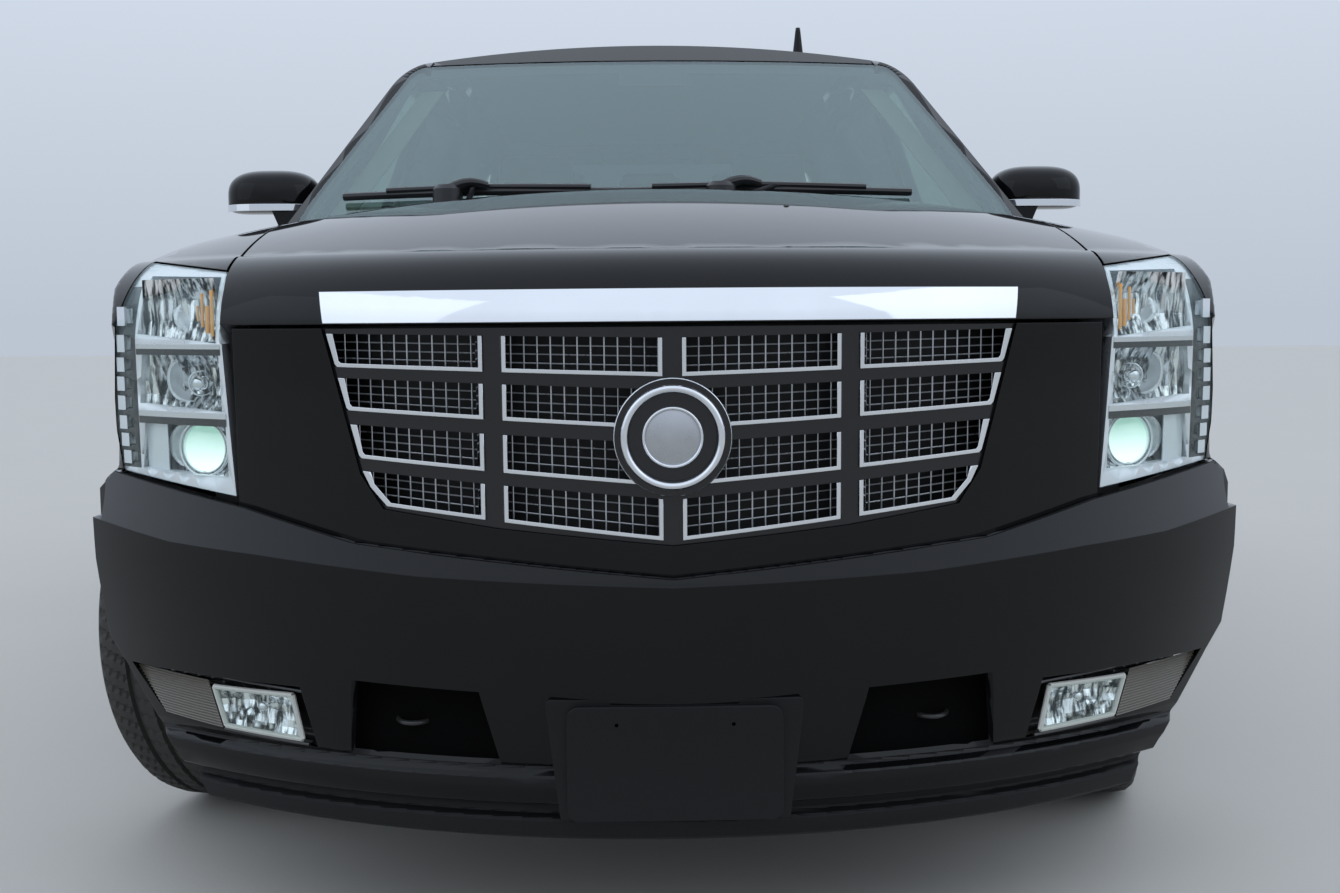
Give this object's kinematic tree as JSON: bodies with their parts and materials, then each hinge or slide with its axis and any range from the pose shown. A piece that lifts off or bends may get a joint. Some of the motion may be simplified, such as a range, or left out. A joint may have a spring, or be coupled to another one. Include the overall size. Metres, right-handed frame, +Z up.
{
  "type": "full-size suv",
  "caption": "Full-size family SUV on a ladder frame with opening side doors, hood and tailgate, steered front wheels and free-turning road wheels.",
  "frame": {"origin": "on the ground under the middle of the vehicle's box", "axes": "+Z up, +Y towards the tail (the front faces -Y), +X to the vehicle's own left, which is the driver's side"},
  "size_m": [2.22, 5.1366, 1.894],
  "materials": {
    "body_paint": "gloss black clearcoat",
    "structure": "satin black e-coat",
    "chassis": "satin black frame coating",
    "black_plastic": "grained black",
    "chrome": "bright chrome",
    "lamp_housing": "bright silver reflector",
    "lamp_cover": "clear polycarbonate",
    "tail_lamp": "red lens",
    "glass": "green tinted",
    "privacy_glass": "dark tinted",
    "interior": "soft grain",
    "leather": "dark leather",
    "engine": "cast",
    "steel": "bare steel",
    "cast": "rough cast",
    "tyre": "black rubber",
    "rim": "bright chrome alloy",
    "exhaust": "heat stained",
    "floor": "black carpet"
  },
  "bodies": {
    "root": {"ladder_frame": "chassis", "floor_pan": "floor", "side_frame_left": "body_paint", "side_frame_right": "body_paint", "roof_panel": "body_paint", "front_fenders": "body_paint", "fascia": "body_paint", "front_bumper": "body_paint", "rear_bumper": "body_paint", "grille": "body_paint", "grille_trim": "chrome", "headlamps": "lamp_housing", "headlamp_lenses": "lamp_cover", "fog_lamps": "lamp_housing", "tail_lamps": "tail_lamp", "windscreen": "glass", "quarter_glass": "privacy_glass", "cowl": "black_plastic", "wipers": "black_plastic", "dashboard": "interior", "seats": "leather", "engine": "engine", "driveline": "steel", "front_differential": "steel", "exhaust": "exhaust", "fuel_tank": "chassis", "front_suspension": "cast", "rear_axle": "cast", "running_boards": "black_plastic", "arch_liners": "black_plastic", "radiator": "black_plastic", "front_structure": "chassis"},
    "door_front_left": {"door_front_left": "body_paint", "glass_front_left": "glass", "mirror_left": "body_paint"},
    "door_front_right": {"door_front_right": "body_paint", "glass_front_right": "glass", "mirror_right": "body_paint"},
    "door_rear_left": {"door_rear_left": "body_paint", "glass_rear_left": "privacy_glass"},
    "door_rear_right": {"door_rear_right": "body_paint", "glass_rear_right": "privacy_glass"},
    "hood": {"hood": "body_paint", "hood_trim": "chrome"},
    "tailgate": {"tailgate": "body_paint", "tailgate_glass": "privacy_glass"},
    "knuckle_left": {"knuckle_left": "cast"},
    "knuckle_right": {"knuckle_right": "cast"},
    "wheel_front_left": {"tyre_front_left": "tyre", "rim_front_left": "rim"},
    "wheel_front_right": {"tyre_front_right": "tyre", "rim_front_right": "rim"},
    "wheel_rear_left": {"tyre_rear_left": "tyre", "rim_rear_left": "rim"},
    "wheel_rear_right": {"tyre_rear_right": "tyre", "rim_rear_right": "rim"},
    "steering_rack": {"steering_rack": "steel"},
    "steering_wheel": {"steering_wheel": "interior"}
  },
  "joints": [
    {"name": "door_front_left_hinge", "type": "hinge", "parent": "root", "child": "door_front_left", "pos_m": [0.973, -0.92, 0.775], "axis": [0, 0, -1], "range_deg": [0, 68]},
    {"name": "door_front_right_hinge", "type": "hinge", "parent": "root", "child": "door_front_right", "pos_m": [-0.973, -0.92, 0.775], "axis": [0, 0, 1], "range_deg": [0, 68]},
    {"name": "door_rear_left_hinge", "type": "hinge", "parent": "root", "child": "door_rear_left", "pos_m": [0.973, 0.211, 0.775], "axis": [0, 0, -1], "range_deg": [0, 68]},
    {"name": "door_rear_right_hinge", "type": "hinge", "parent": "root", "child": "door_rear_right", "pos_m": [-0.973, 0.211, 0.775], "axis": [0, 0, 1], "range_deg": [0, 68]},
    {"name": "hood_hinge", "type": "hinge", "parent": "root", "child": "hood", "pos_m": [0, -1.118, 1.212], "axis": [-1, 0, 0], "range_deg": [0, 50]},
    {"name": "tailgate_hinge", "type": "hinge", "parent": "root", "child": "tailgate", "pos_m": [0, 2.168, 1.766], "axis": [1, 0, 0], "range_deg": [0, 82]},
    {"name": "steer_left", "type": "hinge", "parent": "root", "child": "knuckle_left", "pos_m": [0.8, -1.566, 0.4075], "axis": [0, 0, 1], "range_deg": [-20, 50]},
    {"name": "steer_right", "type": "hinge", "parent": "root", "child": "knuckle_right", "pos_m": [-0.8, -1.566, 0.4075], "axis": [0, 0, 1], "range_deg": [-20, 50]},
    {"name": "rack_slide", "type": "slide", "parent": "root", "child": "steering_rack", "axis": [1, 0, 0], "range_m": [-0.12, 0.05]},
    {"name": "steering_wheel_turn", "type": "hinge", "parent": "root", "child": "steering_wheel", "pos_m": [0.38, -0.56, 1.075], "axis": [0, 0.9063, 0.4226], "range_deg": [-320, 800]},
    {"name": "wheel_front_left_spin", "type": "hinge", "parent": "knuckle_left", "child": "wheel_front_left", "pos_m": [0.86375, -1.58308, 0.4075], "axis": [0.9659, -0.2588, 0], "continuous": true},
    {"name": "wheel_front_right_spin", "type": "hinge", "parent": "knuckle_right", "child": "wheel_front_right", "pos_m": [-0.86375, -1.54892, 0.4075], "axis": [0.9659, -0.2588, 0], "continuous": true},
    {"name": "wheel_rear_left_spin", "type": "hinge", "parent": "root", "child": "wheel_rear_left", "pos_m": [0.851, 1.38, 0.4075], "axis": [1, 0, 0], "continuous": true},
    {"name": "wheel_rear_right_spin", "type": "hinge", "parent": "root", "child": "wheel_rear_right", "pos_m": [-0.851, 1.38, 0.4075], "axis": [1, 0, 0], "continuous": true}
  ],
  "couplings": [
    {"joint": "steer_right", "follows": "steer_left", "ratio": 1},
    {"joint": "rack_slide", "follows": "steer_left", "m_per_rad": -0.135},
    {"joint": "steering_wheel_turn", "follows": "steer_left", "ratio": 15.5}
  ]
}
